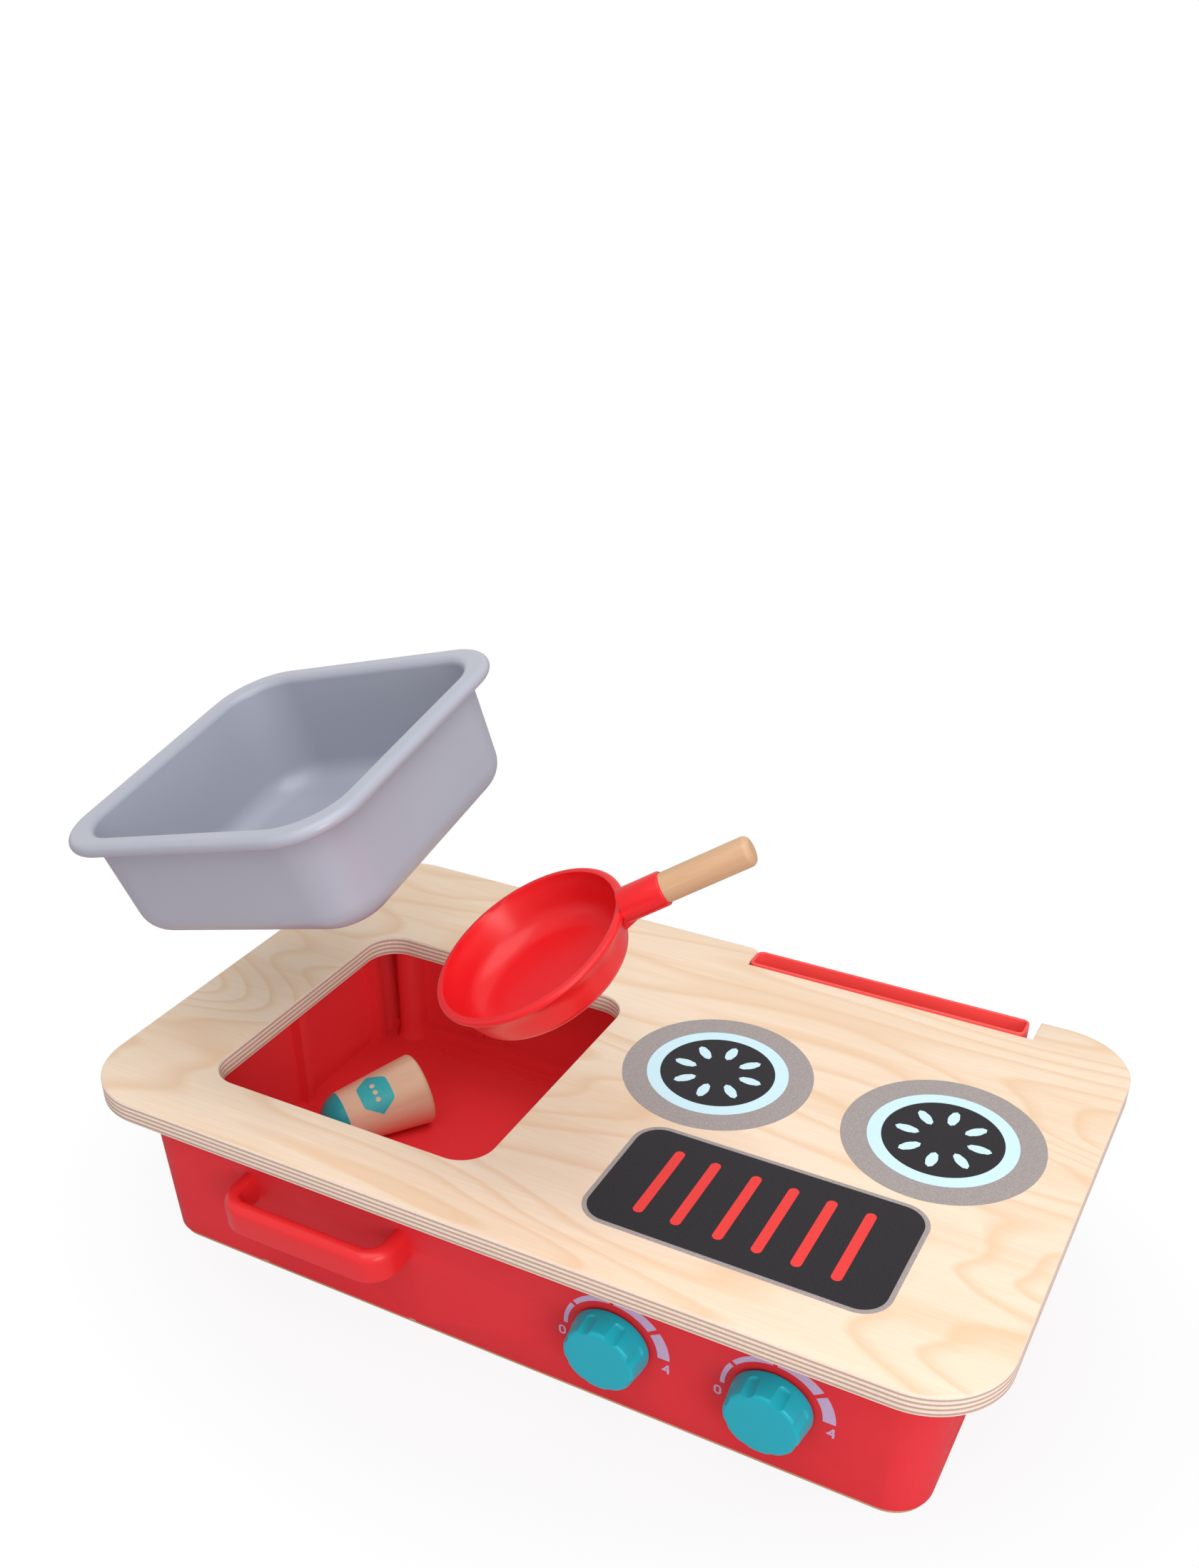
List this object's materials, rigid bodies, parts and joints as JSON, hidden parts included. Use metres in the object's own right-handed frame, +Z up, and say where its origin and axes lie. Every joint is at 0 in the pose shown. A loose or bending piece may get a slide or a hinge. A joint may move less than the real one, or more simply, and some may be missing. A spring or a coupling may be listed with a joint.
{
  "type": "toy kitchen top",
  "caption": "Tabletop toy hob and sink: plywood worktop on a red tub, two turning knobs, lift-out basin, pan with wooden handle, shaker and back tray.",
  "frame": {"origin": "centre of the base board's underside, which the toy stands on", "axes": "+Z up, +X along the front to the right as seen from the front, +Y to the back"},
  "size_m": [0.4914, 0.298, 0.307],
  "materials": {
    "birch_ply": "clear satin lacquer",
    "ink_grey": "screen print",
    "ink_blue": "screen print",
    "ink_black": "screen print",
    "ink_red": "screen print",
    "ink_lilac": "screen print",
    "red_plastic": "fine satin",
    "handle_plastic": "satin gloss",
    "tray_plastic": "satin gloss",
    "tan_board": "plain board",
    "teal_plastic": "gloss",
    "grey_plastic": "gloss",
    "pan_plastic": "gloss",
    "light_wood": "clear satin lacquer",
    "shaker_wood": "clear satin lacquer, teal dome",
    "screw_steel": "zinc plated"
  },
  "bodies": {
    "kitchen": {"worktop": "birch_ply", "print_grey": "ink_grey", "print_blue": "ink_blue", "print_black": "ink_black", "print_red": "ink_red", "tub": "red_plastic", "base_board": "tan_board", "base_screws": "screw_steel", "worktop_screws": "screw_steel", "front_handle": "handle_plastic", "handle_screws": "screw_steel", "dial_prints": "ink_lilac", "back_tray": "tray_plastic", "tray_screws": "screw_steel"},
    "left_knob": {"knob_left": "teal_plastic", "knob_left_washer": "screw_steel", "knob_left_screw": "screw_steel"},
    "right_knob": {"knob_right": "teal_plastic", "knob_right_washer": "screw_steel", "knob_right_screw": "screw_steel"},
    "basin": {"sink_basin": "grey_plastic"},
    "pan": {"pan_bowl": "pan_plastic", "pan_handle": "light_wood", "pan_handle_pin": "screw_steel"},
    "salt_shaker": {"shaker": "shaker_wood"}
  },
  "joints": [
    {"name": "knob_left_turn", "type": "hinge", "parent": "kitchen", "child": "left_knob", "pos_m": [0.064, -0.1158, 0.04676], "axis": [0, 0.9987, 0.0502], "range_deg": [0, 180]},
    {"name": "knob_right_turn", "type": "hinge", "parent": "kitchen", "child": "right_knob", "pos_m": [0.1455, -0.1158, 0.04676], "axis": [0, 0.9987, 0.0502], "range_deg": [0, 180]},
    {"name": "basin_seat", "type": "hinge", "parent": "kitchen", "child": "basin", "pos_m": [-0.54665, -0.29609, -0.01148], "axis": [-0.523, 0.85, -0.063], "range_deg": [0, 18.34]},
    {"name": "pan_seat", "type": "hinge", "parent": "kitchen", "child": "pan", "pos_m": [-0.1705, -0.12129, 0.01459], "axis": [-0.6486, 0.6075, 0.4586], "range_deg": [0, 34.46]},
    {"name": "shaker_lift", "type": "slide", "parent": "kitchen", "child": "salt_shaker", "axis": [0, 0, 1], "range_m": [0, 0.115]}
  ]
}
